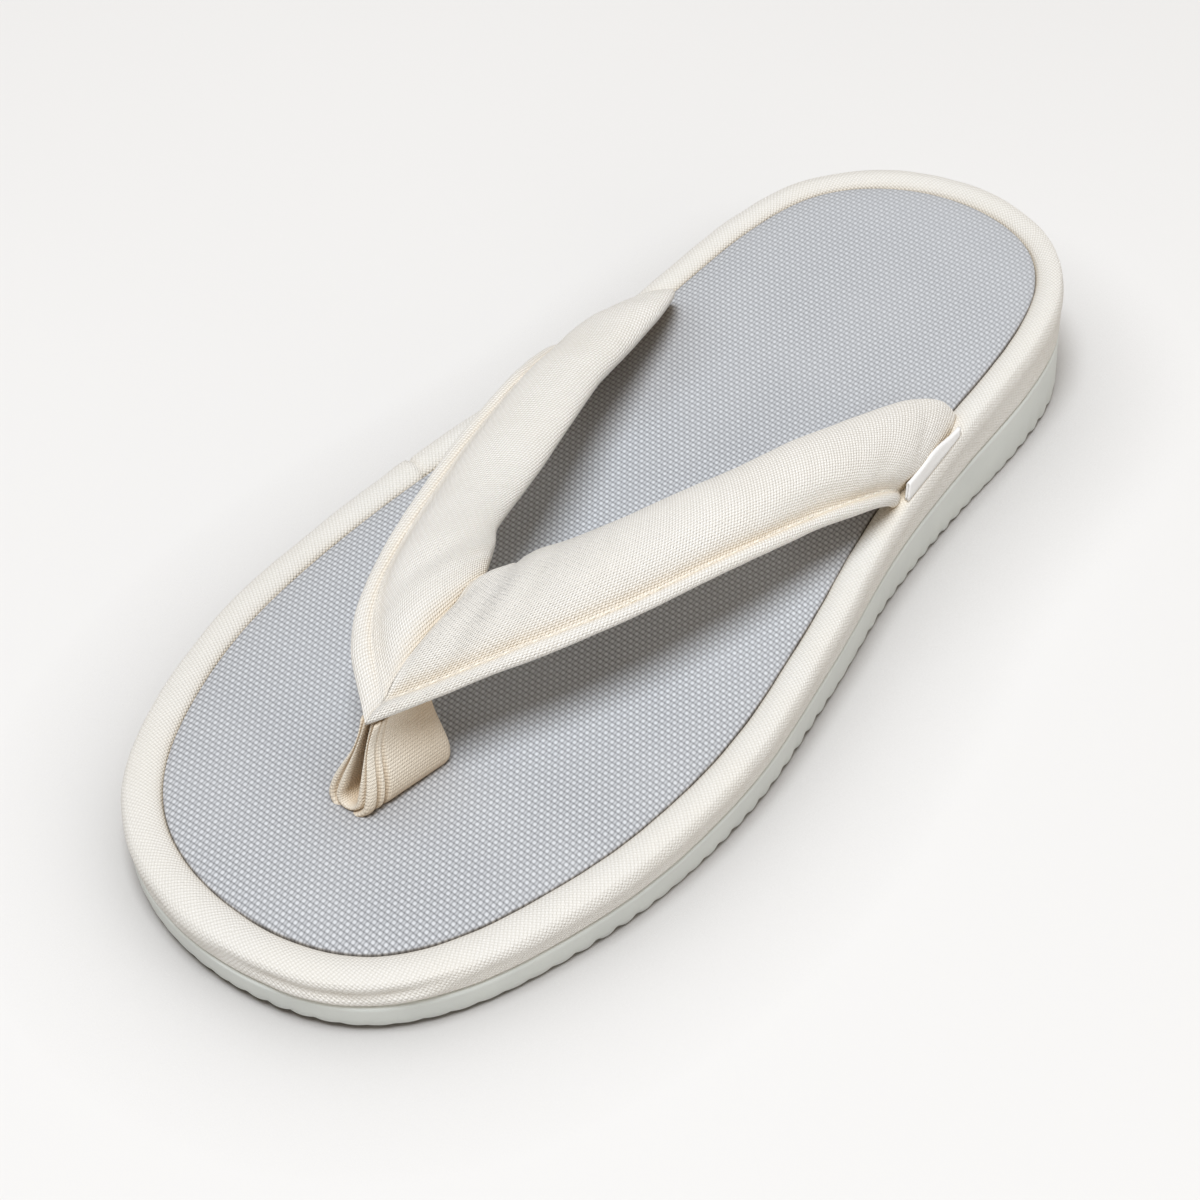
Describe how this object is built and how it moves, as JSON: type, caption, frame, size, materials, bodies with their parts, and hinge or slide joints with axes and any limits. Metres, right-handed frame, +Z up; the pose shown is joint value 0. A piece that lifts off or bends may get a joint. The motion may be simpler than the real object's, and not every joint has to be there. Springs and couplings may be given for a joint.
{
  "type": "room zori sandal",
  "caption": "Left cloth thong slipper: foam wedge sole wrapped in cream canvas with a rolled rim, grey woven padded insole, and padded V straps held by a folded toe post.",
  "frame": {"origin": "middle of the sole's outline, on the floor that the sandal stands on", "axes": "+X towards the toe, +Y towards the outer side of the foot, +Z up"},
  "size_m": [0.2577, 0.1111, 0.0476],
  "materials": {
    "foam_rubber": "matte moulded foam",
    "canvas_wrap": "unbleached plain-weave canvas",
    "woven_cloth": "basket weave",
    "canvas_strap": "unbleached plain-weave canvas",
    "canvas_post": "unbleached plain-weave canvas",
    "label_tape": "smooth woven tape"
  },
  "bodies": {
    "root": {"outsole": "foam_rubber", "midsole": "canvas_wrap", "insole": "woven_cloth", "strap": "canvas_strap", "toe_post": "canvas_post", "side_label": "label_tape"}
  },
  "joints": []
}
